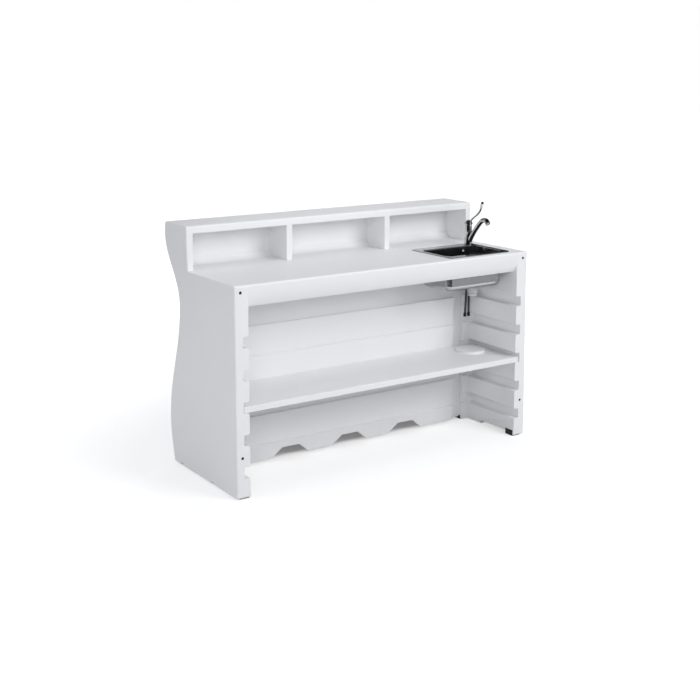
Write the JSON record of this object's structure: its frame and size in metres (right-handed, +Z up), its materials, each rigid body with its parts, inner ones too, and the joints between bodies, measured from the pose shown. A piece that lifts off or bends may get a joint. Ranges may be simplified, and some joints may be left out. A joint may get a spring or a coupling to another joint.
{
  "type": "bar counter",
  "caption": "White moulded bar counter with a wavy customer front, raised bar with pigeonholes, shelf runners with a loose shelf, and a drop-in sink with a mixer tap.",
  "frame": {"origin": "middle of the bounding box on the floor under the feet", "axes": "+X along the counter towards the sink end, +Y towards the customer's side, +Z up"},
  "size_m": [1.6, 0.651, 1.1413],
  "materials": {
    "moulded": "satin white moulded plastic",
    "shelf_board": "satin white board",
    "foot_rubber": "black rubber",
    "black_steel": "black",
    "sink_steel": "polished stainless sheet",
    "chrome": "polished chrome",
    "waste_plastic": "white pipe plastic",
    "seal": "dark grey rubber",
    "hose": "dark braided hose",
    "brass": "plain brass",
    "cartridge": "ivory plastic"
  },
  "bodies": {
    "counter": {"left_end_panel": "moulded", "right_end_panel": "moulded", "front_shell": "moulded", "inner_panel": "moulded", "worktop": "moulded", "bar_top": "moulded", "left_divider": "moulded", "right_divider": "moulded", "near_right_foot": "foot_rubber", "near_left_foot": "foot_rubber", "rear_right_foot": "foot_rubber", "rear_left_foot": "foot_rubber", "upper_right_bolt": "black_steel", "upper_left_bolt": "black_steel", "lower_right_bolt": "black_steel", "lower_left_bolt": "black_steel", "left_hose_nut": "black_steel", "right_hose_nut": "black_steel", "sink": "sink_steel", "left_near_clip": "sink_steel", "left_far_clip": "sink_steel", "right_near_clip": "sink_steel", "right_far_clip": "sink_steel", "clamp_washer": "sink_steel", "overflow_rosette": "chrome", "waste_strainer": "chrome", "tap_base_ring": "chrome", "tap_body": "chrome", "overflow_nut": "waste_plastic", "waste_body": "waste_plastic", "waste_nut": "waste_plastic", "sink_seal": "seal", "waste_seal": "seal", "left_hose": "hose", "right_hose": "hose", "tap_stud": "brass", "clamp_nut": "brass"},
    "shelf": {"storage_shelf": "shelf_board"},
    "spout": {"tap_spout": "chrome", "spout_aerator": "chrome"},
    "mixer_carrier": {"cartridge_carrier": "cartridge"},
    "mixer_handle": {"handle_cap": "chrome", "handle_lever": "chrome", "lever_tip": "foot_rubber"}
  },
  "joints": [
    {"name": "shelf_slide", "type": "slide", "parent": "counter", "child": "shelf", "axis": [0, -1, 0], "range_m": [0, 0.3]},
    {"name": "spout_swivel", "type": "hinge", "parent": "counter", "child": "spout", "pos_m": [0.693, -0.009, 0.9185], "axis": [0, 0, 1], "range_deg": [-70, 70]},
    {"name": "handle_turn", "type": "hinge", "parent": "counter", "child": "mixer_carrier", "pos_m": [0.693, -0.009, 1.02], "axis": [0, 0, 1], "range_deg": [-45, 45]},
    {"name": "handle_lift", "type": "hinge", "parent": "mixer_carrier", "child": "mixer_handle", "pos_m": [0.693, -0.009, 1.02], "axis": [-1, 0, 0], "range_deg": [0, 22]}
  ]
}
